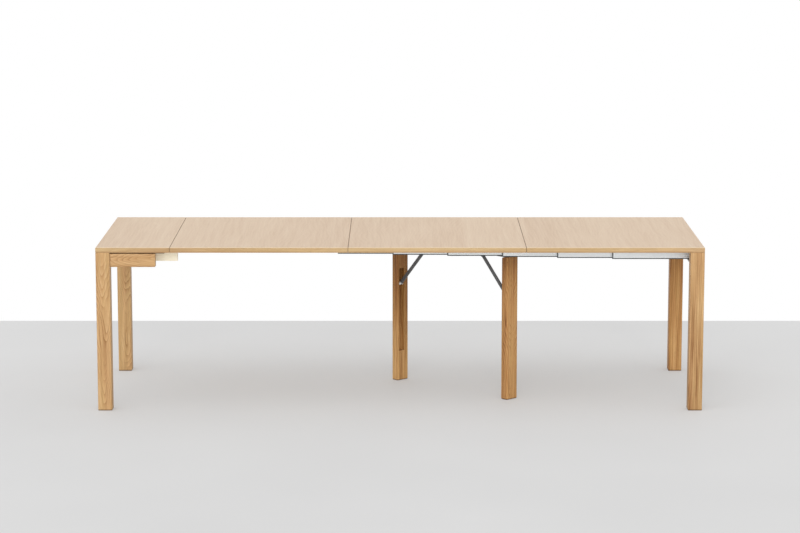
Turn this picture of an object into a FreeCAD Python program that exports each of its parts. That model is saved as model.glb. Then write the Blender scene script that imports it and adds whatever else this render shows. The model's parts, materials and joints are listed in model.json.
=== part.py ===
import FreeCAD, Part
import os
import re

# Extendable console table, millimetres, X along the table, front towards -Y, floor at Z = 0.
doc = FreeCAD.newDocument("ConsoleTable")
sheet = doc.addObject("Spreadsheet::Sheet", "Sizes")
names = []


def size(name, value):
    names.append(name)
    cell = "B%d" % len(names)
    sheet.set("A%d" % len(names), name)
    sheet.set(cell, str(value))
    sheet.setAlias(cell, name)


drive = {
    # Whole table
    "length": 2750,
    "depth": 950,
    "height": 750,
    "top_thick": 22,
    "left_len": 334,
    "leaf_gap": 1,
    # Fixed frames
    "leg_size": 64,
    "apron_end": 270,
    "apron_high": 66,
    "apron_thick": 30,
    "apron_inset": 2,
    "shadow_gap": 5.5,
    "shadow_depth": 14,
    "tongue_past": 40,
    "end_rail_high": 56,
    "end_rail_thick": 20,
    "end_rail_inset": 2,
    # Telescopic rails, ten lanes in each pack
    "lane_inset": 145,
    "lane_pitch": 11,
    "lane_clear": 0.4,
    "slide_clear": 0.3,
    "rail_drop": 75,
    "rail_step": 3.1,
    "rail_len": 315,
    "last_rail_len": 384,
    "rail_pitch": 251,
    "rail_bevel": 5,
    "cap_len": 5,
    "slot_lip": 2,
    "slot_head": 2.6,
    # Guide blocks
    "guide_past": 27,
    "guide_drop": 79.7,
    "guide_thick": 19.5,
    "guide_clear": 0.5,
    # Middle legs on their swivel bar
    "leg_half_x": 253,
    "leg_inset": 112,
    "leg_side": 36.5,
    "tie_offset": 37,
    "tie_wide": 40,
    "tie_thick": 4,
    "bar_clear": 1,
    "bar_thick": 5,
    "arm_wide": 22,
    "mid_wide": 70,
    "mid_thick": 41,
    "mid_round": 8,
    "fold_clear": 2.5,
    "plate_thick": 10,
    "plate_round": 12,
    "slot_clear": 0.4,
    "hinge_pin_rad": 5,
    "groove_wide": 35,
    "groove_shift": 7.5,
    "groove_floor": 6,
    "groove_from": 95,
    "groove_to": 497,
    "brace_run": 178,
    "brace_drop": 171,
    "brace_in": 5,
    "brace_wide": 16,
    "brace_thick": 5,
    "brace_pin_rad": 4,
    "slide_pin_rad": 5,
    "roller_rad": 8.5,
    "ear_thick": 3.5,
    "ear_clear": 0.5,
    "bolt_rad": 6,
    # Fasteners and small clearances
    "screw_rad": 2.5,
    "screw_head": 4.5,
    "dowel_rad": 4,
    "dowel_len": 40,
    "fit": 0.1,
    "swing": 0.3,
}
for word, value in drive.items():
    size(word, value)

# Sizes and places that follow from those
size("lane_outer", "=depth / 2 - lane_inset")
size("leg_half_y", "=lane_outer - leg_inset")
size("leaf_len", "=(length - left_len - 3 * leaf_gap) / 3")
size("x_left", "=-length / 2")
size("x_right", "=length / 2")
size("y_front", "=-depth / 2")
size("z_under", "=height - top_thick")
size("left_inner", "=end_rail_inset + end_rail_thick")
size("right_inner", "=length - end_rail_inset - end_rail_thick")
size("rail_left_9", "=right_inner - last_rail_len")
for n in range(8, 2, -1):
    size("rail_left_%d" % n, "=rail_left_9 - %d * rail_pitch" % (9 - n))
size("hidden_pitch", "=(rail_left_3 - left_inner) / 3")
size("rail_left_0", "=left_inner")
size("rail_left_1", "=left_inner + hidden_pitch")
size("rail_left_2", "=left_inner + 2 * hidden_pitch")
for n in range(10):
    size("rail_drop_%d" % n, "=rail_drop - %d * rail_step" % (9 - n))
size("first_high", "=rail_drop_0 - top_thick")
size("rib_head", "=first_high * 0.42")
size("rib_neck", "=first_high * 0.2")
size("rib_mid", "=z_under - first_high * 0.5")
size("guide_end", "=left_len + guide_past")
size("leg_half", "=sqrt(leg_half_x * leg_half_x + leg_half_y * leg_half_y)")
size("hinge_run", "=sqrt(leg_half * leg_half - leg_side * leg_side)")
size("bar_turn", "=-atan2(leg_half_y; leg_half_x) - asin(leg_side / leg_half)")
size("bar_x", "=x_left + rail_left_6 + tie_offset")
size("tie_bottom", "=height - rail_drop_5 - slide_clear - tie_thick")
size("bar_top", "=height - guide_drop - bar_clear")
size("bar_bottom", "=bar_top - bar_thick")
size("hinge_z", "=bar_bottom - fold_clear - mid_thick / 2")
size("mid_top", "=bar_top")
size("crown", "=mid_top - hinge_z + fit")
size("pivot_z", "=bar_bottom - 8.5")
size("brace_dx", "=brace_run - brace_in")
size("brace_dz", "=pivot_z - hinge_z + brace_drop")
size("brace_len", "=sqrt(brace_dx * brace_dx + brace_dz * brace_dz)")
size("brace_tilt", "=atan2(brace_dz; brace_dx)")
doc.recompute()

words = re.compile(r"[a-z_][a-z_0-9]*")
plain = {"sqrt", "sin", "cos", "deg"}


def ex(text):
    text = str(text)

    def put(match):
        word = match.group(0)
        if word in plain:
            return word
        return "Sizes." + word

    return words.sub(put, text)


def bind(obj, prop, text):
    obj.setExpression(prop, ex(text))


unit = Part.makeBox(1, 1, 1)


def edge_at(x, y, z):
    for number, edge in enumerate(unit.Edges, 1):
        mid = edge.CenterOfMass
        if abs(mid.x - x) + abs(mid.y - y) + abs(mid.z - z) < 0.01:
            return number


upright = [edge_at(0, 0, 0.5), edge_at(1, 0, 0.5), edge_at(0, 1, 0.5), edge_at(1, 1, 0.5)]
foot = [edge_at(0.5, 0, 0), edge_at(0.5, 1, 0), edge_at(0, 0.5, 0), edge_at(1, 0.5, 0)]


def box(name, x, y, z, lx, ly, lz):
    obj = doc.addObject("Part::Box", name)
    bind(obj, "Length", lx)
    bind(obj, "Width", ly)
    bind(obj, "Height", lz)
    bind(obj, "Placement.Base.x", x)
    bind(obj, "Placement.Base.y", y)
    bind(obj, "Placement.Base.z", z)
    return obj


turns = {
    "x": FreeCAD.Rotation(FreeCAD.Vector(0, 1, 0), 90),
    "y": FreeCAD.Rotation(FreeCAD.Vector(1, 0, 0), -90),
    "z": FreeCAD.Rotation(),
}


def rod(name, axis, x, y, z, radius, run):
    obj = doc.addObject("Part::Cylinder", name)
    obj.Placement = FreeCAD.Placement(FreeCAD.Vector(), turns[axis])
    bind(obj, "Radius", radius)
    bind(obj, "Height", run)
    bind(obj, "Placement.Base.x", x)
    bind(obj, "Placement.Base.y", y)
    bind(obj, "Placement.Base.z", z)
    return obj


def soften(name, base, edges, radius, lesser=(), slight=0):
    obj = doc.addObject("Part::Fillet", name)
    obj.Base = base
    obj.Edges = (
        [(number, radius, radius) for number in edges]
        + [(number, slight, slight) for number in lesser])
    return obj


def bevel(name, base, edges, run):
    obj = doc.addObject("Part::Chamfer", name)
    obj.Base = base
    obj.Edges = [(number, run, run) for number in edges]
    return obj


def fuse(name, shapes):
    obj = doc.addObject("Part::MultiFuse", name)
    obj.Shapes = shapes
    obj.Refine = True
    return obj


def cut(name, base, tools):
    tool = tools[0]
    if len(tools) > 1:
        tool = doc.addObject("Part::Compound", name + "_tools")
        tool.Links = tools
    obj = doc.addObject("Part::Cut", name)
    obj.Base = base
    obj.Tool = tool
    return obj


def group(name, shapes):
    obj = doc.addObject("Part::Compound", name)
    obj.Links = shapes
    return obj


def mirror(name, source):
    obj = doc.addObject("Part::Mirroring", name)
    obj.Source = source
    obj.Normal = FreeCAD.Vector(0, 1, 0)
    return obj


def turn_about_y(obj, x, z, angle):
    obj.Placement = FreeCAD.Placement(FreeCAD.Vector(), FreeCAD.Rotation(FreeCAD.Vector(0, 1, 0), 10))
    bind(obj, "Placement.Base.x", x)
    bind(obj, "Placement.Base.z", z)
    bind(obj, "Placement.Rotation.Angle", angle)
    return obj


def on_bar(obj, side):
    obj.Placement = FreeCAD.Placement(FreeCAD.Vector(), FreeCAD.Rotation(FreeCAD.Vector(0, 0, 1), 10))
    bind(obj, "Placement.Base.x", "bar_x")
    if side == "front":
        bind(obj, "Placement.Rotation.Angle", "360 deg + bar_turn")
    else:
        bind(obj, "Placement.Rotation.Angle", "180 deg + bar_turn")
    return obj


nodes = {}


def keep(obj):
    nodes[obj.Name] = obj
    return obj


def pair(front):
    keep(front)
    keep(mirror(front.Name.replace("_front", "_rear"), front))


# Left frame
screw_x = ["x_left + left_inner + 60", "x_left + guide_end - 90"]
guide_mid = "lane_outer + guide_clear + guide_thick / 2"
screw_holes = []
for n, x in enumerate(screw_x):
    for s, y in enumerate(["-(" + guide_mid + ")", guide_mid]):
        tag = "%d%d" % (n, s)
        screw_holes.append(
            rod("top_pilot_" + tag, "z", x, y, "z_under - 1", "screw_rad + fit", "top_thick * 0.6 + 1"))
top_block = box("left_top_block", "x_left", "y_front", "z_under", "left_len", "depth", "top_thick")
keep(cut("left_top", soften("left_top_soft", top_block, range(1, 13), 1.2), screw_holes))

leg_block = box("left_leg_block", "x_left", "y_front", "0", "leg_size", "leg_size", "z_under")
pair(soften("left_leg_front", leg_block, range(1, 13), 3))

apron_face = box(
    "apron_face", "x_left + leg_size", "y_front + apron_inset", "z_under - apron_high",
    "apron_end - leg_size", "apron_thick", "apron_high - shadow_gap")
apron_soft = soften(
    "apron_soft", apron_face, [edge_at(1, 0, 0.5), edge_at(0.5, 0, 0), edge_at(1, 0.5, 0)], 4)
apron_back = box(
    "apron_back", "x_left + leg_size", "y_front + apron_inset + shadow_depth", "z_under - apron_high / 2",
    "apron_end - leg_size", "apron_thick - shadow_depth", "apron_high / 2")
apron_tongue = box(
    "apron_tongue", "x_left + leg_size", "y_front + apron_inset + shadow_depth", "z_under - shadow_gap",
    "apron_end + tongue_past - leg_size", "apron_thick - shadow_depth", "shadow_gap")
pair(fuse("left_apron_front", [apron_soft, apron_back, apron_tongue]))

left_end_block = box(
    "left_end_block", "x_left + end_rail_inset", "y_front + leg_size", "z_under - end_rail_high",
    "end_rail_thick", "depth - 2 * leg_size", "end_rail_high")
keep(soften("left_end_rail", left_end_block, [edge_at(0, 0.5, 0), edge_at(1, 0.5, 0)], 2.5))

guide_block = box(
    "guide_block", "x_left + left_inner", "-(lane_outer + guide_clear + guide_thick)",
    "height - guide_drop",
    "guide_end - left_inner", "guide_thick", "guide_drop - top_thick")
guide_holes = []
for n, x in enumerate(screw_x):
    y = "-(" + guide_mid + ")"
    guide_holes.append(rod(
        "guide_bore_%d" % n, "z", x, y, "height - guide_drop - 1", "screw_rad + fit", "guide_drop"))
    guide_holes.append(rod(
        "guide_sink_%d" % n, "z", x, y, "height - guide_drop - 1", "screw_head + fit", "5"))
guide_rims = [
    edge_at(0.5, 0, 0), edge_at(0.5, 1, 0), edge_at(1, 0, 0.5), edge_at(1, 1, 0.5), edge_at(1, 0.5, 0)]
pair(cut("guide_front", soften("guide_soft", guide_block, guide_rims, 1.5), guide_holes))

screws = []
for n, x in enumerate(screw_x):
    for s, y in enumerate(["-(" + guide_mid + ")", guide_mid]):
        tag = "%d%d" % (n, s)
        shank = rod(
            "top_shank_" + tag, "z", x, y, "height - guide_drop + 3.5", "screw_rad",
            "guide_drop - 3.5 - top_thick * 0.45")
        head = rod("top_head_" + tag, "z", x, y, "height - guide_drop + 1", "screw_head", "3")
        screws.append(fuse("top_screw_" + tag, [shank, head]))
keep(group("left_screws", screws))

# Rails: each stage carries a T rib on its outer face, which runs in the T slot of the next stage
rail_end = {0: "guide_end - rail_left_0", 9: "last_rail_len - cap_len"}
right_screw_z = ["height - rail_drop * 0.55", "height - rail_drop * 0.82"]


def slot_tools(tag, n, x, run):
    inner = "-lane_outer + %d * lane_pitch - lane_clear" % (10 - n)
    lip = box(
        "slot_lip_" + tag, x, inner + " - slot_lip", "rib_mid - rib_neck / 2 - slide_clear",
        run, "slot_lip + 1", "rib_neck + 2 * slide_clear")
    head = box(
        "slot_head_" + tag, x, inner + " - slot_lip - slot_head", "rib_mid - rib_head / 2 - slide_clear",
        run, "slot_head", "rib_head + 2 * slide_clear")
    return [lip, head]


for n in range(10):
    lane = "-lane_outer + %d * lane_pitch" % (9 - n)
    low = "height - rail_drop_%d" % n
    high = "rail_drop_%d - top_thick" % n
    left = "x_left + rail_left_%d" % n
    cap = "cap_len" if n else "0"
    run = rail_end.get(n, "rail_len - cap_len")
    plank = box("plank_%d" % n, left + " + " + cap, lane, low, run, "lane_pitch - lane_clear", high)
    body = bevel("plank_bevel_%d" % n, plank, [edge_at(0.5, 0, 0)], drive["rail_bevel"])
    if n < 9:
        outer = lane + " - lane_clear"
        neck = box(
            "rib_neck_%d" % n, left + " + " + cap, outer + " - slot_lip - slide_clear",
            "rib_mid - rib_neck / 2",
            run, "lane_clear + slot_lip + slide_clear", "rib_neck")
        head = box(
            "rib_head_%d" % n, left + " + " + cap, outer + " - slot_lip - slot_head + slide_clear",
            "rib_mid - rib_head / 2", run, "slot_head - 2 * slide_clear", "rib_head")
        body = fuse("rail_ribbed_%d" % n, [body, neck, head])
    tools = []
    if n:
        tools = slot_tools("rail_%d" % n, n, left + " - 1", "rail_len + last_rail_len")
    if n == 9:
        for k, z in enumerate(right_screw_z):
            tools.append(rod(
                "rail_pilot_%d" % k, "x", "x_left + right_inner - 30", lane + " + lane_pitch * 0.35", z,
                "screw_rad - 0.5 + fit", "31"))
    name = "rail_%d_front" % n
    if tools:
        rail = cut(name, body, tools)
    else:
        rail = body
        rail.Label = name
    nodes[name] = rail
    nodes["rail_%d_rear" % n] = mirror("rail_%d_rear" % n, rail)
    if n:
        stop = box("cap_block_%d" % n, left, lane, low, "cap_len", "lane_pitch - lane_clear", high)
        shaped = bevel("cap_bevel_%d" % n, stop, [edge_at(0.5, 0, 0)], drive["rail_bevel"])
        one = cut("cap_%d_front" % n, shaped, slot_tools("cap_%d" % n, n, left + " - 1", "cap_len + 2"))
        keep(group("caps_%d" % n, [one, mirror("cap_%d_rear" % n, one)]))

# Right frame
right_block = box("right_leg_block", "x_right - leg_size", "y_front", "0", "leg_size", "leg_size",
    "z_under")
pair(soften("right_leg_front", right_block, range(1, 13), 3))
end_block = box(
    "right_end_block", "x_left + right_inner", "y_front + leg_size", "z_under - end_rail_high",
    "end_rail_thick", "depth - 2 * leg_size", "end_rail_high")
end_holes = []
end_screws = []
for k, z in enumerate(right_screw_z):
    for s, y in enumerate(["-lane_outer + lane_pitch * 0.35", "lane_outer - lane_pitch * 0.35"]):
        tag = "%d%d" % (k, s)
        end_holes.append(rod(
            "end_bore_" + tag, "x", "x_left + right_inner - 1", y, z, "screw_rad - 0.5 + fit",
            "end_rail_thick * 0.7 + 1"))
        end_screws.append(rod(
            "end_stud_" + tag, "x", "x_left + right_inner - 25", y, z, "screw_rad - 0.5",
            "end_rail_thick * 0.65 + 25"))
along = [edge_at(0, 0.5, 0), edge_at(1, 0.5, 0), edge_at(0, 0.5, 1), edge_at(1, 0.5, 1)]
keep(cut("right_end_rail", soften("right_end_soft", end_block, along, 2.5), end_holes))
keep(group("right_screws", end_screws))

# Loose leaves, doweled to each other
dowels = []
for n in (1, 2, 3):
    start = "x_left + left_len + leaf_gap + %d * (leaf_len + leaf_gap)" % (n - 1)
    block = box("leaf_block_%d" % n, start, "y_front", "z_under", "leaf_len", "depth", "top_thick")
    soft = soften("leaf_soft_%d" % n, block, range(1, 13), 1.2)
    holes = []
    for side in (0, 1):
        if (n, side) in ((1, 0), (3, 1)):
            continue
        mid = start + " + %d * (leaf_len + leaf_gap) - leaf_gap / 2" % side
        room = "fit" if n == 2 else "swing"
        for s, y in enumerate(["-depth * 0.32", "0", "depth * 0.32"]):
            tag = "%d%d%d" % (n, side, s)
            holes.append(rod(
                "dowel_bore_" + tag, "x", mid + " - dowel_len / 2 - 1", y, "z_under + top_thick / 2",
                "dowel_rad + " + room, "dowel_len + 2"))
            if n == 2:
                dowels.append(rod(
                    "dowel_" + tag, "x", mid + " - dowel_len / 2", y, "z_under + top_thick / 2",
                    "dowel_rad", "dowel_len"))
    keep(cut("leaf_%d" % n, soft, holes))
keep(group("leaf_dowels", dowels))

# Tie between the packs, with the bolt that the swivel bar turns on
tie_y = "(lane_outer - 4 * lane_pitch + lane_clear)"
tie_block = box(
    "tie_block", "bar_x - tie_wide / 2", "-" + tie_y, "tie_bottom", "tie_wide", "2 * " + tie_y, "tie_thick")
keep(cut("rail_tie", tie_block, [
    rod("tie_bore", "z", "bar_x", "0", "tie_bottom - 1", "bolt_rad + fit", "tie_thick + 2")]))
spacer = rod("spacer_disc", "z", "bar_x", "0", "bar_top + fit", "tie_wide * 0.5",
    "tie_bottom - bar_top - fit")
keep(cut("swivel_spacer", spacer, [
    rod("spacer_bore", "z", "bar_x", "0", "bar_top - 1", "bolt_rad + fit", "30")]))
bolt_shank = rod("bolt_shank", "z", "bar_x", "0", "bar_bottom - 1", "bolt_rad",
    "tie_bottom + tie_thick + 1 - bar_bottom + 1")
bolt_head = rod("bolt_head", "z", "bar_x", "0", "tie_bottom + tie_thick", "bolt_rad + 4", "4")
bolt_foot = rod("bolt_foot", "z", "bar_x", "0", "bar_bottom - fit - 1.6", "bolt_rad + 4", "1.6")
keep(fuse("swivel_bolt", [bolt_shank, bolt_head, bolt_foot]))

# Swivel bar: a stepped flat bar with a hinge plate and a pair of brace ears for each middle leg
bar_bits = [box(
    "bar_middle", "-arm_wide * 2", "-leg_side - arm_wide / 2", "bar_bottom",
    "arm_wide * 4", "2 * leg_side + arm_wide", "bar_thick")]
bar_holes = [rod("bar_bore", "z", "0", "0", "bar_bottom - 1", "bolt_rad + swing", "bar_thick + 2")]
for sign, side in ((1, "front"), (-1, "rear")):

    def bar_box(tag, u, v, z, lu, lv, lz):
        if sign > 0:
            return box("bar_%s_%s" % (tag, side), u, v, z, lu, lv, lz)
        return box(
            "bar_%s_%s" % (tag, side), "-(%s) - (%s)" % (u, lu), "-(%s) - (%s)" % (v, lv), z, lu, lv, lz)

    def bar_rod(tag, u, v, z, radius, run):
        if sign > 0:
            return rod("bar_%s_%s" % (tag, side), "y", u, v, z, radius, run)
        return rod("bar_%s_%s" % (tag, side), "y", "-(%s)" % u, "-(%s) - (%s)" % (v, run), z, radius, run)

    pivot_u = "hinge_run - brace_run"
    bar_bits.append(bar_box(
        "arm", "0", "leg_side - arm_wide / 2", "bar_bottom", "hinge_run - mid_thick / 2 - 1", "arm_wide",
        "bar_thick"))
    bar_bits.append(bar_box(
        "plate", "hinge_run - 40", "leg_side - plate_thick / 2", "bar_bottom", "40 + plate_round",
        "plate_thick", "bar_thick"))
    bar_bits.append(bar_box(
        "drop", "hinge_run - plate_round", "leg_side - plate_thick / 2", "hinge_z", "2 * plate_round",
        "plate_thick", "bar_top - hinge_z"))
    bar_bits.append(bar_rod("knuckle", "hinge_run", "leg_side - plate_thick / 2", "hinge_z",
        "plate_round", "plate_thick"))
    bar_holes.append(bar_rod("knuckle_bore", "hinge_run", "leg_side - plate_thick", "hinge_z",
        "hinge_pin_rad + swing", "2 * plate_thick"))
    for k, v in enumerate(["leg_side + brace_thick / 2 + ear_clear",
            "leg_side - brace_thick / 2 - ear_clear - ear_thick"]):
        bar_bits.append(bar_box(
            "ear_%d" % k, pivot_u + " - brace_wide / 2", v, "pivot_z", "brace_wide", "ear_thick",
            "bar_bottom - pivot_z + 1"))
        bar_bits.append(bar_rod("lug_%d" % k, pivot_u, v, "pivot_z", "brace_wide / 2", "ear_thick"))
    bar_holes.append(bar_rod(
        "ear_bore", pivot_u, "leg_side - 12", "pivot_z", "brace_pin_rad + fit", "24"))
keep(on_bar(cut("leg_bar", fuse("bar_whole", bar_bits), bar_holes), "front"))

# Middle legs, their pins and braces
for side in ("front", "rear"):
    face = "hinge_run - mid_thick / 2"
    post = box(
        "mid_block_" + side, face, "leg_side - mid_wide / 2", "0", "mid_thick", "mid_wide", "mid_top")
    soft = soften("mid_soft_" + side, post, upright, drive["mid_round"], foot, 6)
    corner = cut(
        "mid_corner_" + side,
        box(
            "corner_box_" + side, face + " - 1", "leg_side - mid_wide / 2 - 1", "hinge_z",
            "mid_thick / 2 + 1", "mid_wide + 2", "crown + 1"),
        [rod(
            "corner_round_" + side, "y", "hinge_run", "leg_side - mid_wide / 2 - 2", "hinge_z",
            "crown", "mid_wide + 4")])
    slot = box(
        "mid_slot_" + side, face + " - 1", "leg_side - plate_thick / 2 - slot_clear", "hinge_z - 16",
        "mid_thick / 2 + 1 + plate_round + slot_clear", "plate_thick + 2 * slot_clear",
        "mid_top - hinge_z + 17")
    groove = box(
        "mid_groove_" + side, face + " - 1", "leg_side + groove_shift - groove_wide / 2",
        "hinge_z - groove_to",
        "mid_thick / 2 + 1 + groove_floor", "groove_wide", "groove_to - groove_from")
    bore = rod(
        "mid_bore_" + side, "y", "hinge_run", "leg_side - mid_wide * 0.4", "hinge_z",
        "hinge_pin_rad + fit", "mid_wide * 0.8")
    keep(on_bar(cut("mid_leg_" + side, soft, [corner, slot, groove, bore]), side))

    shank = rod(
        "pin_shank_" + side, "y", "hinge_run", "leg_side - mid_wide * 0.39", "hinge_z", "hinge_pin_rad",
        "mid_wide * 0.78")
    keep(on_bar(group("hinge_pin_" + side, [shank]), side))

    pivot_u = "hinge_run - brace_run"
    pin_u = "hinge_run - brace_in"
    pin_z = "hinge_z - brace_drop"
    half = "leg_side - brace_thick / 2"
    flat = box("brace_flat_" + side, "0", half, "-brace_wide / 2", "brace_len", "brace_thick", "brace_wide")
    eye_a = rod("brace_eye_a_" + side, "y", "0", half, "0", "brace_wide / 2", "brace_thick")
    eye_b = rod("brace_eye_b_" + side, "y", "brace_len", half, "0", "brace_wide / 2", "brace_thick")
    strip = turn_about_y(fuse("brace_strip_" + side, [flat, eye_a, eye_b]), pivot_u, "pivot_z",
        "brace_tilt")
    bores = [
        rod(
            "brace_bore_a_" + side, "y", pivot_u, half + " - 1", "pivot_z",
            "brace_pin_rad + swing", "brace_thick + 2"),
        rod(
            "brace_bore_b_" + side, "y", pin_u, half + " - 1", pin_z,
            "slide_pin_rad + fit", "brace_thick + 2")]
    keep(on_bar(cut("brace_" + side, strip, bores), side))

    reach = "brace_thick / 2 + ear_clear + ear_thick"
    shank = rod("pivot_shank_" + side, "y", pivot_u, "leg_side - (%s)" % reach, "pivot_z",
        "brace_pin_rad", "2 * (%s)" % reach)
    head = rod("pivot_head_" + side, "y", pivot_u, "leg_side + " + reach, "pivot_z",
        "brace_pin_rad + 1.5", "1.5")
    keep(on_bar(fuse("brace_pivot_" + side, [shank, head]), side))

    shank = rod(
        "slide_shank_" + side, "y", pin_u, "leg_side + groove_shift - groove_wide / 2 + 1", pin_z,
        "slide_pin_rad", "groove_wide - 2")
    near_roll = "groove_wide / 2 + groove_shift - brace_thick / 2 - 2"
    far_roll = "groove_wide / 2 - groove_shift - brace_thick / 2 - 2"
    rollers = [
        rod(
            "slide_roller_0_" + side, "y", pin_u, "leg_side + brace_thick / 2 + fit", pin_z,
            "roller_rad", near_roll),
        rod(
            "slide_roller_1_" + side, "y", pin_u, "leg_side - brace_thick / 2 - fit - (%s)" % far_roll,
            pin_z, "roller_rad", far_roll)]
    keep(on_bar(fuse("slide_pin_" + side, [shank] + rollers), side))

doc.recompute()

for obj in doc.Objects:
    if "Invalid" in obj.State or "Error" in obj.State:
        raise RuntimeError("not built: " + obj.Name)
os.makedirs("parts", exist_ok=True)
for name, obj in nodes.items():
    shape = obj.Shape
    if shape.isNull() or not shape.isValid():
        raise RuntimeError("bad shape: " + name)
    shape.exportStep("parts/%s.step" % name)
print("%d nodes" % len(nodes))
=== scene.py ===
import json
import math

import bmesh
import bpy
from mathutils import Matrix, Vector


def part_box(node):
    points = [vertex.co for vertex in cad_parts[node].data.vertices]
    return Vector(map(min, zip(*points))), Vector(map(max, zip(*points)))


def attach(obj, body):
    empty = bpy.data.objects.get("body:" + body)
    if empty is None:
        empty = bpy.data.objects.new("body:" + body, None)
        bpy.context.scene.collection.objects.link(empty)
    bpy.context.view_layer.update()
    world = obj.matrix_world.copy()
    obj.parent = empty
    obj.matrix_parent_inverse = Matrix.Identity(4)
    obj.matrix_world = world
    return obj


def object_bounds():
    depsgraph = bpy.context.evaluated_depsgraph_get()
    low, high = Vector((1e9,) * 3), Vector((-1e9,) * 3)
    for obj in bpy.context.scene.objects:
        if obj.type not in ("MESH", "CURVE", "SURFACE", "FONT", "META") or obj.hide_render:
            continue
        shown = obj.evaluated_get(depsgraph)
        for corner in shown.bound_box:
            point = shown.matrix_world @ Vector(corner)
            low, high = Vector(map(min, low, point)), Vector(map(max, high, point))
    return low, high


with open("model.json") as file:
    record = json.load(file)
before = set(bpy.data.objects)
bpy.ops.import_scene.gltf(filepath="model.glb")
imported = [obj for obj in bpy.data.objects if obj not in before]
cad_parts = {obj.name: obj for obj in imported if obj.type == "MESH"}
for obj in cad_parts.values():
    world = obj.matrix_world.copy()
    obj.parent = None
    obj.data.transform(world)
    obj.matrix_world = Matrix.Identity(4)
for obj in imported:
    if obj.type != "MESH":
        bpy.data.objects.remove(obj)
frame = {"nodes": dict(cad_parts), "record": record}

cad_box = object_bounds()
nodes = frame["nodes"]
scene = bpy.context.scene


def linear(red, green, blue):
    """An sRGB colour, 0 to 255, as the linear colour that a shader takes."""
    out = []
    for part in (red, green, blue):
        part = part / 255
        out.append(part / 12.92 if part <= 0.04045 else ((part + 0.055) / 1.055) ** 2.4)
    return (*out, 1)


# How far the rounded normal agrees with the face's own on a flat face, and at a sharp edge
EDGE_FLAT = 0.995
EDGE_SHARP = 0.8


class Net:
    """A material's node tree, with short calls for the nodes that are used here."""

    def __init__(self, name):
        self.material = bpy.data.materials.new(name)
        self.material.use_nodes = True
        self.tree = self.material.node_tree
        self.shader = self.tree.nodes["Principled BSDF"]
        place = self.tree.nodes.new("ShaderNodeTexCoord")
        self.at = place.outputs["Object"]
        self.facing = place.outputs["Normal"]

    def put(self, value, socket):
        if isinstance(value, bpy.types.NodeSocket):
            self.tree.links.new(value, socket)
        else:
            socket.default_value = value

    def math(self, operation, first, second=None):
        node = self.tree.nodes.new("ShaderNodeMath")
        node.operation = operation
        self.put(first, node.inputs[0])
        if second is not None:
            self.put(second, node.inputs[1])
        return node.outputs[0]

    def plus(self, value, more, times):
        """A value with so many times another one added."""
        return self.math("ADD", value, self.math("MULTIPLY", more, times))

    def apart(self, vector):
        node = self.tree.nodes.new("ShaderNodeSeparateXYZ")
        self.put(vector, node.inputs[0])
        return [node.outputs[0], node.outputs[1], node.outputs[2]]

    def joined(self, x, y, z):
        node = self.tree.nodes.new("ShaderNodeCombineXYZ")
        for value, socket in zip((x, y, z), node.inputs):
            self.put(value, socket)
        return node.outputs[0]

    def noise(self, vector, waves, detail=2, rough=0.5, shift=(0, 0, 0)):
        """Noise with about so many waves per metre along each of the vector's three parts."""
        stretch = self.tree.nodes.new("ShaderNodeMapping")
        self.put(vector, stretch.inputs["Vector"])
        stretch.inputs["Scale"].default_value = waves
        stretch.inputs["Location"].default_value = shift
        node = self.tree.nodes.new("ShaderNodeTexNoise")
        self.put(stretch.outputs[0], node.inputs["Vector"])
        node.inputs["Scale"].default_value = 1
        node.inputs["Detail"].default_value = detail
        node.inputs["Roughness"].default_value = rough
        return node.outputs["Fac"]

    def rings(self, far, wide, curve):
        """A saw wave that rises once in each ring's width, bent by a power."""
        return self.math("POWER", self.math("FRACT", self.math("MULTIPLY", far, 1 / wide)), curve)

    def span(self, value, low, high, to_low=0, to_high=1):
        node = self.tree.nodes.new("ShaderNodeMapRange")
        self.put(value, node.inputs["Value"])
        node.inputs["From Min"].default_value = low
        node.inputs["From Max"].default_value = high
        node.inputs["To Min"].default_value = to_low
        node.inputs["To Max"].default_value = to_high
        return node.outputs[0]

    def ramp(self, value, stops):
        node = self.tree.nodes.new("ShaderNodeValToRGB")
        self.put(value, node.inputs[0])
        points = node.color_ramp.elements
        while len(points) < len(stops):
            points.new(1)
        for point, (where, colour) in zip(points, stops):
            point.position = where
            point.color = colour
        return node.outputs[0]

    def mix(self, amount, first, second, kind="MIX"):
        node = self.tree.nodes.new("ShaderNodeMix")
        node.data_type = "RGBA"
        node.blend_type = kind
        self.put(amount, node.inputs[0])
        self.put(first, node.inputs[6])
        self.put(second, node.inputs[7])
        return node.outputs[2]

    def toned(self, colour, where, share, tone):
        """A colour with a share of another tone where a value is 1."""
        return self.mix(self.math("MULTIPLY", where, share), colour, tone)

    def shaded(self, colour, shade):
        """A colour made darker by a shade, which is 1 where the colour stays."""
        return self.mix(1, colour, self.joined(shade, shade, shade), "MULTIPLY")

    def bump(self, height, strength, distance):
        node = self.tree.nodes.new("ShaderNodeBump")
        node.inputs["Strength"].default_value = strength
        node.inputs["Distance"].default_value = distance
        self.put(height, node.inputs["Height"])
        self.put(node.outputs[0], self.shader.inputs["Normal"])

    def edges(self, radius):
        """1 along the edges of a piece and 0 on its flat faces."""
        bevel = self.tree.nodes.new("ShaderNodeBevel")
        bevel.samples = 4
        bevel.inputs["Radius"].default_value = radius
        flat = self.tree.nodes.new("ShaderNodeNewGeometry")
        dot = self.tree.nodes.new("ShaderNodeVectorMath")
        dot.operation = "DOT_PRODUCT"
        self.put(bevel.outputs[0], dot.inputs[0])
        self.put(flat.outputs["True Normal"], dot.inputs[1])
        return self.span(dot.outputs["Value"], EDGE_FLAT, EDGE_SHARP)

    def gloss(self, level):
        self.shader.inputs["Specular IOR Level"].default_value = level

    def set(self, **values):
        for name, value in values.items():
            self.put(value, self.shader.inputs[name.replace("_", " ").title()])


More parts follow.
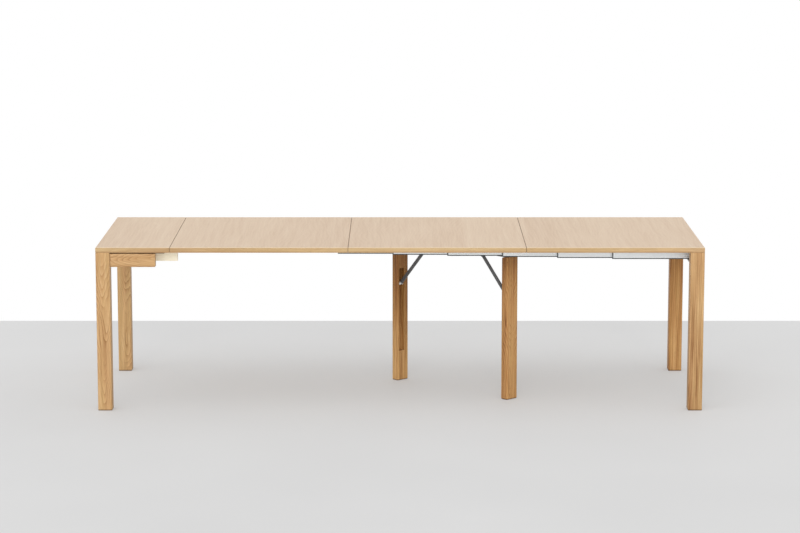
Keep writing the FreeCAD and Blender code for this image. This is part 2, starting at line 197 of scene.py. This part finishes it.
# Waves per metre of each part of the oak's figure, along the grain and to both sides across it
DRIFT = (1.7, 7, 7)
BROAD = (0.9, 16, 16)
STREAK = (2.6, 75, 75)
FINE = (9, 420, 420)
PORES = (55, 1500, 1500)
WAVE = (6, 25, 25)
ZONE = (4.5, 9, 9)
HUE = (1.3, 30, 30)
# Widths of the year rings, and how much the flames taper along the grain
STRAIGHT_RING = 0.009
FLAME_RING = 0.0085
TAPER = 0.15
# Parts of a noise's range over which the streaks, the fine lines and the pores fade
STREAKS_AT = (0.28, 0.72)
LINES_AT = (0.34, 0.52)
HOLES_AT = (0.3, 0.42)
# The part of its range in which a noise mostly lies
MOSTLY = (0.3, 0.7)
# Tints between which the oak's hue wanders
HUES = [(0.38, (1.0, 0.97, 0.95, 1)), (0.62, (0.985, 1.0, 0.94, 1))]


def grain_parts(net, axis):
    """The place along the grain and the two places across it, in metres, joined and apart."""
    x, y, z = net.apart(net.at)
    order = {"x": (x, y, z), "y": (y, x, z), "z": (z, x, y)}[axis]
    return net.joined(*order), order


def pore_shade(net, vector, lines, holes, line_tone, hole_tone):
    """A shade that falls to the two tones in the fine lines and in the pores."""
    fine = net.noise(vector, lines, rough=0.6)
    deep = net.noise(vector, holes, detail=1)
    return net.math(
        "MULTIPLY", net.span(fine, *LINES_AT, line_tone, 1), net.span(deep, *HOLES_AT, hole_tone, 1))


def flames(net, vector, parts, drift, pith):
    """The rings of flat-sawn wood, around a pith: the place of the tree's middle across the grain."""
    along, across, depth = parts
    off = net.math("SUBTRACT", across, pith[0])
    back = net.math("SUBTRACT", depth, pith[1])
    far = net.math("ADD", net.math("MULTIPLY", off, off), net.math("MULTIPLY", back, back))
    far = net.plus(net.math("SQRT", far), along, -TAPER)
    far = net.plus(far, drift, 0.1)
    far = net.plus(far, net.noise(vector, WAVE, shift=(2, 6, 1)), 0.03)
    thin = net.math("SUBTRACT", net.rings(far, wide=FLAME_RING, curve=0.5), 0.7)
    zone = net.noise(vector, ZONE, detail=1, shift=(1, 8, 3))
    strong = net.span(zone, 0.4, 0.58, to_low=0.2)
    return net.math("ADD", net.math("MULTIPLY", thin, strong), 0.4)


def oak_colour(net, axis, stops, weight=0.55, figure=0.2, pith=None):
    """Colour and pore height of solid oak, with the grain along one axis and flames where it has a pith."""
    vector, parts = grain_parts(net, axis)
    _, across, depth = parts
    drift = net.noise(vector, DRIFT, detail=1)
    if pith:
        rings = flames(net, vector, parts, drift, pith)
    else:
        far = net.plus(net.plus(across, depth, 0.45), drift, 0.09)
        rings = net.rings(far, wide=STRAIGHT_RING, curve=1.6)
    streak = net.noise(vector, STREAK, detail=3, rough=0.6)
    broad = net.noise(vector, BROAD, shift=(3, 1, 4))
    tone = net.math("MULTIPLY", net.span(streak, *STREAKS_AT), weight)
    tone = net.plus(tone, net.span(broad, *MOSTLY), 0.25)
    tone = net.plus(tone, rings, figure)
    colour = net.ramp(tone, stops)
    tint = net.ramp(net.noise(vector, HUE, shift=(7, 2, 5)), HUES)
    colour = net.mix(1, colour, tint, "MULTIPLY")
    shade = pore_shade(net, vector, FINE, PORES, line_tone=0.86, hole_tone=0.8)
    return net.shaded(colour, shade), net.plus(shade, rings, 0.15)


# Colours of the woods, from their dark streaks to their light ones
OAK = [
    (0.18, linear(146, 105, 64)),
    (0.42, linear(184, 144, 99)),
    (0.62, linear(199, 161, 115)),
    (0.85, linear(214, 181, 138)),
]
LIPPING = [
    (0.18, linear(184, 150, 110)),
    (0.42, linear(196, 164, 123)),
    (0.62, linear(200, 170, 129)),
    (0.85, linear(204, 175, 134)),
]
# A darker, redder copy of the oak, as painted shade on the legs that stand in shade under the top
PAINTED_SHADE_OAK = [
    (0.2, linear(136, 90, 46)),
    (0.42, linear(178, 130, 79)),
    (0.64, linear(200, 154, 100)),
    (0.88, linear(216, 176, 121)),
]
VENEER = [
    (0.15, linear(206, 179, 151)),
    (0.45, linear(213, 188, 161)),
    (0.65, linear(216, 192, 165)),
    (0.9, linear(220, 198, 172)),
]
BIRCH = [
    (0.25, linear(246, 233, 204)),
    (0.5, linear(253, 245, 222)),
    (0.75, linear(254, 250, 234)),
]
# Painted shade on the legs: how light their colour is made at heights above the floor, within the height of
# the table
TABLE_HEIGHT = 0.75
REAR_MID_PAINTED_SHADE = [(0.05, 0.98), (0.2, 0.86), (0.36, 0.62), (0.64, 0.5)]
FRONT_MID_PAINTED_SHADE = [(0.05, 0.88), (0.5, 0.88), (0.56, 0.8), (0.64, 0.6)]
REAR_RIGHT_PAINTED_SHADE = [(0.1, 0.98), (0.3, 0.92), (0.5, 0.8), (0.68, 0.68)]
FRONT_RIGHT_PAINTED_SHADE = [(0.05, 0.88), (0.3, 0.94), (0.5, 1.0)]
# Powers by which green and blue follow that painted shade, so that the shaded wood is also warmer
WARM_GREEN = 1.35
WARM_BLUE = 1.85
# The worn edges, with a painted highlight on the boards' edges too, and the gloss of oiled oak
WORN_EDGE = 0.0022
WEAR_AND_HIGHLIGHT_SHARE = 0.3
OAK_GLOSS = 0.35
# Heights of the painted contact shadow at the feet and of the painted shade on the batten above the aprons,
# and the width of the painted shade at the apron's joint
FOOT_PAINTED_SHADE = 0.0045
BATTEN_SHADE = 0.0054
APRON_JOINT_SHADE = 0.003
# Painted shade at an arris fades out at so many times its height
ARRIS_SHADE_FADE = 1.4


def solid_oak(name, axis, stops, shade_by_height=None, weight=0.55, figure=0.2, pith=None, marks=None):
    """Oiled oak, with painted shade where heights above the floor, in metres, are given with how light the
    colour is made there.
    """
    net = Net(name)
    colour, height = oak_colour(net, axis, stops, weight, figure, pith)
    z = net.apart(net.at)[2]
    # Painted shade: the colour darkened by height above the floor, where shade falls on the legs
    if shade_by_height:
        stages = []
        for at, part in shade_by_height:
            stages.append((at / TABLE_HEIGHT, (part, part ** WARM_GREEN, part ** WARM_BLUE, 1)))
        light = net.ramp(net.span(z, 0, TABLE_HEIGHT), stages)
        colour = net.mix(1, colour, light, "MULTIPLY")
    colour = net.toned(colour, net.edges(WORN_EDGE), WEAR_AND_HIGHLIGHT_SHARE, linear(232, 203, 158))
    if axis == "z":
        # Painted shade: a dark band at the foot of each leg, where the contact shadow falls
        foot = net.span(z, FOOT_PAINTED_SHADE, FOOT_PAINTED_SHADE * ARRIS_SHADE_FADE, to_low=0.65, to_high=0)
        colour = net.mix(foot, colour, linear(74, 50, 28))
    if marks:
        colour = marks(net, colour)
    net.set(base_color=colour, roughness=net.span(height, 0.7, 1.15, to_low=0.66, to_high=0.5))
    net.gloss(OAK_GLOSS)
    net.bump(height, strength=0.22, distance=0.0004)
    return net.material


def apron_painted_shade(net, colour):
    """Painted shade: a dark strip along an apron's top, on the batten in the shadow gap under the top, and a
    dark line at its end where the leg's rounded edge shades it.
    """
    x, _, z = net.apart(net.at)
    low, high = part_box("left_apron_front")
    # Painted shade on the batten in the shadow gap under the top
    top_shade = net.math("GREATER_THAN", z, high.z - BATTEN_SHADE)
    colour = net.toned(colour, top_shade, 0.85, linear(58, 40, 24))
    # Painted shade where the leg's rounded edge meets the apron's end
    end_shade = net.math("LESS_THAN", x, low.x + APRON_JOINT_SHADE)
    return net.toned(colour, end_shade, 0.6, linear(96, 66, 38))


# Strips and rings of the veneer, and the waves per metre of its figure along and across the grain
VENEER_STRIP = 0.148
VENEER_RING = 0.017
VENEER_SHIFT = 3
VENEER_DRIFT = (1.6, 5, 1)
VENEER_STREAK = (2.2, 48, 1)
VENEER_FINE = (7, 330, 1)
VENEER_PORES = (45, 1300, 1)
# Widths of the lippings on the face, of the joint lines, of the painted shade along the lower arris, and of
# the worn edges with a painted highlight
FRONT_LIP = 0.022
BACK_LIP = 0.006
JOINT_HALF = 0.0016
UNDERSIDE_SHADE = 0.005
BOARD_WEAR_AND_HIGHLIGHT = 0.0016
# A face lies at the end, or level, where that part of its normal is larger than this
END_FACING = 0.7
LEVEL_FACING = 0.72


def veneer(net):
    """Colour and pore shade of pale veneer in strips, with the grain along Y."""
    _, (along, across, depth) = grain_parts(net, "y")
    odd = net.tree.nodes.new("ShaderNodeTexWhiteNoise")
    odd.noise_dimensions = "1D"
    net.put(net.math("FLOOR", net.math("MULTIPLY", across, 1 / VENEER_STRIP)), odd.inputs["W"])
    strip = odd.outputs[0]
    sheet = net.joined(net.plus(along, strip, VENEER_SHIFT), across, depth)
    far = net.plus(across, net.noise(sheet, VENEER_DRIFT), 0.16)
    streak = net.noise(sheet, VENEER_STREAK, detail=3, rough=0.6)
    tone = net.math("MULTIPLY", net.span(streak, *STREAKS_AT), 0.5)
    tone = net.plus(tone, net.rings(far, wide=VENEER_RING, curve=1.8), 0.22)
    tone = net.plus(tone, strip, 0.28)
    shade = pore_shade(net, sheet, VENEER_FINE, VENEER_PORES, line_tone=0.965, hole_tone=0.93)
    return net.shaded(net.ramp(tone, VENEER), shade), shade


def oak_board(name):
    """A veneered board with solid lippings on its edges."""
    net = Net(name)
    x, y, z = net.apart(net.at)
    facing_x, _, facing_z = net.apart(net.facing)
    low, high = cad_box
    face, shade = veneer(net)
    front = net.math("LESS_THAN", y, low[1] + FRONT_LIP)
    back = net.math("GREATER_THAN", y, high[1] - BACK_LIP)
    face = net.toned(face, net.math("MAXIMUM", front, back), 0.6, linear(228, 203, 164))

    edge_x, height = oak_colour(net, "x", LIPPING, weight=0.45)
    edge_y, _ = oak_colour(net, "y", LIPPING, weight=0.45)
    at_end = net.math("GREATER_THAN", net.math("ABSOLUTE", facing_x), END_FACING)
    colour = net.mix(at_end, edge_x, edge_y)
    # Painted shade along the lower arris of the edges
    above = net.math("SUBTRACT", z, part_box("left_top")[0].z)
    lower_arris_shade = net.span(above, UNDERSIDE_SHADE, UNDERSIDE_SHADE * ARRIS_SHADE_FADE, to_low=0.45, to_high=0)
    colour = net.mix(lower_arris_shade, colour, linear(150, 108, 66))

    at_face = net.math("GREATER_THAN", net.math("ABSOLUTE", facing_z), LEVEL_FACING)
    colour = net.mix(at_face, colour, face)
    # Worn edges, partly a painted highlight along the rounded arrises
    colour = net.toned(colour, net.edges(BOARD_WEAR_AND_HIGHLIGHT), WEAR_AND_HIGHLIGHT_SHARE, linear(236, 214, 182))
    strong = net.span(at_face, 0, 1, to_low=0.42, to_high=0.75)
    for left, right in (("left_top", "leaf_1"), ("leaf_1", "leaf_2"), ("leaf_2", "leaf_3")):
        where = (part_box(left)[1].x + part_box(right)[0].x) / 2
        near = net.math("LESS_THAN", net.math("ABSOLUTE", net.math("SUBTRACT", x, where)), JOINT_HALF)
        colour = net.toned(colour, near, strong, linear(112, 82, 54))
    net.set(base_color=colour, roughness=net.span(shade, 0.8, 1, to_low=0.62, to_high=0.48))
    net.gloss(OAK_GLOSS)
    net.bump(net.plus(height, at_face, shade), strength=0.16, distance=0.0003)
    return net.material


def pale_wood(name):
    net = Net(name)
    vector, _ = grain_parts(net, "x")
    streak = net.noise(vector, (2.4, 70, 70), detail=3, rough=0.6)
    fine = net.noise(vector, (14, 600, 600))
    shade = net.span(fine, 0.3, 0.5, to_low=0.93)
    colour = net.shaded(net.ramp(streak, BIRCH), shade)
    net.set(base_color=colour, roughness=net.span(fine, *MOSTLY, to_low=0.75, to_high=0.6))
    net.bump(shade, strength=0.2, distance=0.0003)
    return net.material


# Edge that is worn on plastic and on steel
SMALL_EDGE = 0.0012


def between(net, value, dark, light):
    """A colour that follows a noise from a dark tone to a light one."""
    return net.ramp(value, list(zip(MOSTLY, (dark, light))))


def aluminium(name):
    """Satin anodised extrusion: fine lines along its length, and painted shade on the faces that look down.
    """
    net = Net(name)
    vector, _ = grain_parts(net, "x")
    draw = net.noise(vector, (2, 900, 900))
    cloud = net.noise(vector, (5, 20, 20))
    bright = between(net, cloud, linear(241, 246, 250), linear(248, 252, 254))
    # Painted shade on the faces that look down
    underside_shade = between(net, cloud, linear(66, 70, 74), linear(80, 84, 88))
    below = net.span(net.apart(net.facing)[2], -0.2, -0.5)
    colour = net.mix(below, bright, underside_shade)
    net.set(base_color=colour, metallic=0.75, roughness=net.span(draw, *MOSTLY, to_low=0.4, to_high=0.52))
    net.bump(draw, strength=0.08, distance=0.0002)
    return net.material


def plastic(name):
    net = Net(name)
    spot = net.noise(net.at, (700, 700, 700))
    cloud = net.noise(net.at, (30, 30, 30))
    colour = between(net, cloud, linear(84, 88, 90), linear(100, 104, 106))
    colour = net.toned(colour, net.edges(SMALL_EDGE), 0.35, linear(130, 132, 134))
    net.set(base_color=colour, roughness=net.span(spot, *MOSTLY, to_low=0.5, to_high=0.66))
    net.bump(spot, strength=0.15, distance=0.0002)
    return net.material


def lacquered_steel(name):
    net = Net(name)
    peel = net.noise(net.at, (420, 420, 420))
    cloud = net.noise(net.at, (24, 24, 24), detail=3)
    colour = between(net, cloud, linear(74, 75, 77), linear(92, 93, 95))
    bare = net.math("MULTIPLY", net.edges(SMALL_EDGE), 0.5)
    colour = net.mix(bare, colour, linear(150, 151, 153))
    net.set(base_color=colour, metallic=bare, roughness=net.span(peel, *MOSTLY, to_low=0.38, to_high=0.52))
    net.bump(peel, strength=0.12, distance=0.0003)
    return net.material


def plated_steel(name):
    net = Net(name)
    turned = net.noise(net.at, (300, 300, 1400))
    cloud = net.noise(net.at, (60, 60, 60))
    colour = between(net, cloud, linear(226, 226, 224), linear(242, 242, 240))
    net.set(base_color=colour, metallic=0.55, roughness=net.span(turned, *MOSTLY, to_low=0.24, to_high=0.38))
    net.bump(turned, strength=0.08, distance=0.0001)
    return net.material


# How far the tree's middle lies behind a piece's front face, and off the middle of that face
PITH_BEHIND = 0.012
PITH_OFF = 0.004


def pith_of(name):
    """The tree's middle, a little behind the piece's front face."""
    low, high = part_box(name)
    behind = low.y + PITH_BEHIND
    if "apron" in name:
        return (behind, (low.z + high.z) / 2 + PITH_OFF)
    return ((low.x + high.x) / 2 + PITH_OFF, behind)


looks = {
    "oak_board": oak_board("oak_board"),
    "oak_left_front": solid_oak(
        "oak_left_front", "z", OAK, weight=0.36, figure=0.5, pith=pith_of("left_leg_front")),
    "oak_left_rear": solid_oak(
        "oak_left_rear", "z", OAK, weight=0.36, figure=0.5, pith=pith_of("left_leg_rear")),
    "oak_apron": solid_oak(
        "oak_apron", "x", OAK, weight=0.42, figure=0.45, pith=pith_of("left_apron_front"), marks=apron_painted_shade),
    "oak_cross": solid_oak("oak_cross", "y", OAK),
    # The right and middle legs carry painted shade by height, and the rear right and middle ones a darker
    # copy of the oak as painted shade
    "oak_right_front": solid_oak("oak_right_front", "z", OAK, FRONT_RIGHT_PAINTED_SHADE),
    "oak_right_rear": solid_oak("oak_right_rear", "z", PAINTED_SHADE_OAK, REAR_RIGHT_PAINTED_SHADE),
    "oak_mid_front": solid_oak(
        "oak_mid_front", "z", PAINTED_SHADE_OAK, FRONT_MID_PAINTED_SHADE, figure=0.5, pith=pith_of("mid_leg_front")),
    "oak_mid_rear": solid_oak("oak_mid_rear", "z", PAINTED_SHADE_OAK, REAR_MID_PAINTED_SHADE, weight=0.75, figure=0.4),
    "pale_wood": pale_wood("pale_birch"),
    "rail_aluminium": aluminium("satin_aluminium"),
    "cap_plastic": plastic("moulded_plastic"),
    "dark_steel": lacquered_steel("lacquered_steel"),
    "bright_steel": plated_steel("plated_steel"),
}


def look_of(name, slot):
    if slot == "oak_top":
        return "oak_board"
    if "_leg_" in name:
        return "oak_" + name.replace("_leg", "")
    if slot == "dowel_wood":
        return "pale_wood"
    if slot == "oak_frame":
        return "oak_apron" if "apron" in name else "oak_cross"
    return slot


for part in frame["record"]["subparts"]:
    piece = nodes[part["node"]]
    piece.data.materials.clear()
    piece.data.materials.append(looks[look_of(part["node"], part["material_slot"])])


def new_piece(name, mesh, look, body):
    piece = bpy.data.objects.new(name, mesh)
    mesh.materials.append(looks[look])
    scene.collection.objects.link(piece)
    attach(piece, body)


def finished(name, shape):
    """The mesh of a shape whose faces are made to look outward."""
    bmesh.ops.recalc_face_normals(shape, faces=shape.faces[:])
    mesh = bpy.data.meshes.new(name)
    shape.to_mesh(mesh)
    shape.free()
    return mesh


def drawn(name, outline, x0, x1, soft):
    """A mesh drawn along X from an outline in Y and Z, with its edges rounded."""
    shape = bmesh.new()
    ends = []
    for x in (x0, x1):
        ends.append([shape.verts.new((x, y, z)) for y, z in outline])
    shape.faces.new(ends[0])
    shape.faces.new(list(reversed(ends[1])))
    count = len(outline)
    for k in range(count):
        after = (k + 1) % count
        shape.faces.new((ends[0][after], ends[0][k], ends[1][k], ends[1][after]))
    bmesh.ops.bevel(
        shape, geom=shape.edges[:], offset=soft, segments=2, profile=0.6, affect="EDGES", clamp_overlap=True)
    return finished(name, shape)


def turned(name, profile, spots, axis):
    """A mesh turned from a profile of radius and height, once at each spot, standing out along an axis."""
    shape = bmesh.new()
    steps = 28
    spin = axis.to_track_quat("Z", "Y").to_matrix()
    for spot in spots:
        rings = []
        for radius, rise in profile:
            ring = []
            for k in range(steps):
                angle = 2 * math.pi * k / steps
                local = Vector((radius * math.cos(angle), radius * math.sin(angle), rise))
                ring.append(shape.verts.new(Vector(spot) + spin @ local))
            rings.append(ring)
        for one, two in zip(rings, rings[1:]):
            for k in range(steps):
                after = (k + 1) % steps
                shape.faces.new((one[k], one[after], two[after], two[k]))
        shape.faces.new(list(reversed(rings[0])))
        shape.faces.new(rings[-1])
    return finished(name, shape)


# Steel angles that join the last rails to the right legs, each with its screws
ANGLE_THICK = 0.003
ANGLE_DROP = 0.039
ANGLE_SOFT = 0.0006
CLEAR = 0.0001
LEFT_CLEAR = 0.0008
RIGHT_CLEAR = 0.0005
SCREW_AT = 0.62
SCREW_HALF_PITCH = 0.011
PAN_HEAD = [
    (0.0042, 0), (0.0042, 0.0009), (0.0036, 0.0019), (0.0024, 0.0025), (0.0017, 0.0026), (0.0014, 0.0012)]
leg_low, leg_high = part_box("right_leg_front")
rail_low, rail_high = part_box("rail_9_front")
left = leg_low.x + LEFT_CLEAR
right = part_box("right_end_rail")[0].x - RIGHT_CLEAR
wall = leg_high.y + CLEAR
face = wall + ANGLE_THICK
inner = rail_high.y - CLEAR
shelf = rail_low.z - CLEAR
under = shelf - ANGLE_THICK
foot = shelf - ANGLE_DROP
profile = [(wall, foot), (face, foot), (face, under), (inner, under), (inner, shelf), (wall, shelf)]
for side, turn in (("front", 1), ("rear", -1)):
    name = "leg_angle_" + side
    outline = [(turn * y, z) for y, z in profile]
    angle = drawn(name, outline, left, right, ANGLE_SOFT)
    new_piece(name, angle, "bright_steel", "right_frame")
    name = "angle_screws_" + side
    spots = []
    for away in (-SCREW_HALF_PITCH, SCREW_HALF_PITCH):
        spots.append(((left + right) / 2 + away, turn * face, shelf - ANGLE_DROP * SCREW_AT))
    screws = turned(name, PAN_HEAD, spots, Vector((0, turn, 0)))
    new_piece(name, screws, "bright_steel", "right_frame")


def background_rays(tree):
    """1 for the rays that show the background: straight to the camera, or by way of gloss or glass."""
    ray = tree.nodes.new("ShaderNodeLightPath")
    shown = ray.outputs["Is Camera Ray"]
    for kind in ("Is Glossy Ray", "Is Transmission Ray"):
        more = tree.nodes.new("ShaderNodeMath")
        more.operation = "MAXIMUM"
        tree.links.new(shown, more.inputs[0])
        tree.links.new(ray.outputs[kind], more.inputs[1])
        shown = more.outputs[0]
    return shown


# Floor, seen as far as the wall's foot, with the bright look of the photograph's floor in its soft shadow
FLOOR_HALF = 14
FLOOR_FRONT = -16
FLOOR_BACK = 1.73
FLOOR_LIFT = 0.4
floor_mesh = bpy.data.meshes.new("floor")
corners = [
    (-FLOOR_HALF, FLOOR_FRONT, 0), (FLOOR_HALF, FLOOR_FRONT, 0),
    (FLOOR_HALF, FLOOR_BACK, 0), (-FLOOR_HALF, FLOOR_BACK, 0)]
floor_mesh.from_pydata(corners, [], [(0, 1, 2, 3)])
floor = bpy.data.objects.new("floor", floor_mesh)
scene.collection.objects.link(floor)
floor_net = Net("pale_floor")
floor_cloud = floor_net.noise(floor_net.at, (0.8, 0.8, 0.8))
floor_tone = between(floor_net, floor_cloud, linear(216, 216, 216), linear(222, 222, 222))
floor_net.set(base_color=floor_tone, roughness=0.7)
floor_net.gloss(0.2)
glow = floor_net.tree.nodes.new("ShaderNodeEmission")
glow.inputs["Color"].default_value = linear(218, 218, 218)
glow.inputs["Strength"].default_value = 1
lit = floor_net.tree.nodes.new("ShaderNodeMixShader")
floor_net.put(floor_net.math("MULTIPLY", background_rays(floor_net.tree), FLOOR_LIFT), lit.inputs[0])
floor_net.put(floor_net.shader.outputs[0], lit.inputs[1])
floor_net.put(glow.outputs[0], lit.inputs[2])
floor_net.put(lit.outputs[0], floor_net.tree.nodes["Material Output"].inputs["Surface"])
floor_mesh.materials.append(floor_net.material)

# White surroundings: plain white as a background, softer as light
SEEN = 1
FILL = 0.78
world = bpy.data.worlds.new("studio")
scene.world = world
world.use_nodes = True
tree = world.node_tree
tree.nodes.clear()
either = tree.nodes.new("ShaderNodeMixShader")
tree.links.new(background_rays(tree), either.inputs[0])
for socket, strength in ((either.inputs[1], FILL), (either.inputs[2], SEEN)):
    white = tree.nodes.new("ShaderNodeBackground")
    white.inputs["Color"].default_value = (1, 1, 1, 1)
    white.inputs["Strength"].default_value = strength
    tree.links.new(white.outputs[0], socket)
out = tree.nodes.new("ShaderNodeOutputWorld")
tree.links.new(either.outputs[0], out.inputs[0])


def soft_sun(name, height, turn, power, spread):
    """A wide, soft light from far away: height above the floor, turn from the front to the right, degrees.

    Gloss shows the white surroundings and not the lamps, so that no view has a burnt patch on the tops.
    """
    lamp = bpy.data.lights.new(name, "SUN")
    lamp.energy = power
    lamp.angle = math.radians(spread)
    holder = bpy.data.objects.new(name, lamp)
    scene.collection.objects.link(holder)
    holder.visible_glossy = False
    holder.rotation_euler = (math.radians(90 - height), 0, math.radians(turn))


soft_sun("key", height=62, turn=-35, power=0.45, spread=50)
soft_sun("front", height=13, turn=-4, power=1.45, spread=36)

# Camera, fitted to the ends, joints and legs in the photograph
CAMERA_AT = (-0.0005, -12.110, 2.611)
CAMERA_DOWN = 9.493
camera_data = bpy.data.cameras.new("camera")
camera_data.lens = 117.61
camera_data.sensor_width = 36
camera_data.sensor_fit = "HORIZONTAL"
camera_data.clip_end = 100
camera = bpy.data.objects.new("camera", camera_data)
scene.collection.objects.link(camera)
camera.location = CAMERA_AT
camera.rotation_euler = (math.radians(90 - CAMERA_DOWN), 0, 0)
scene.camera = camera
scene.view_settings.view_transform = "Standard"
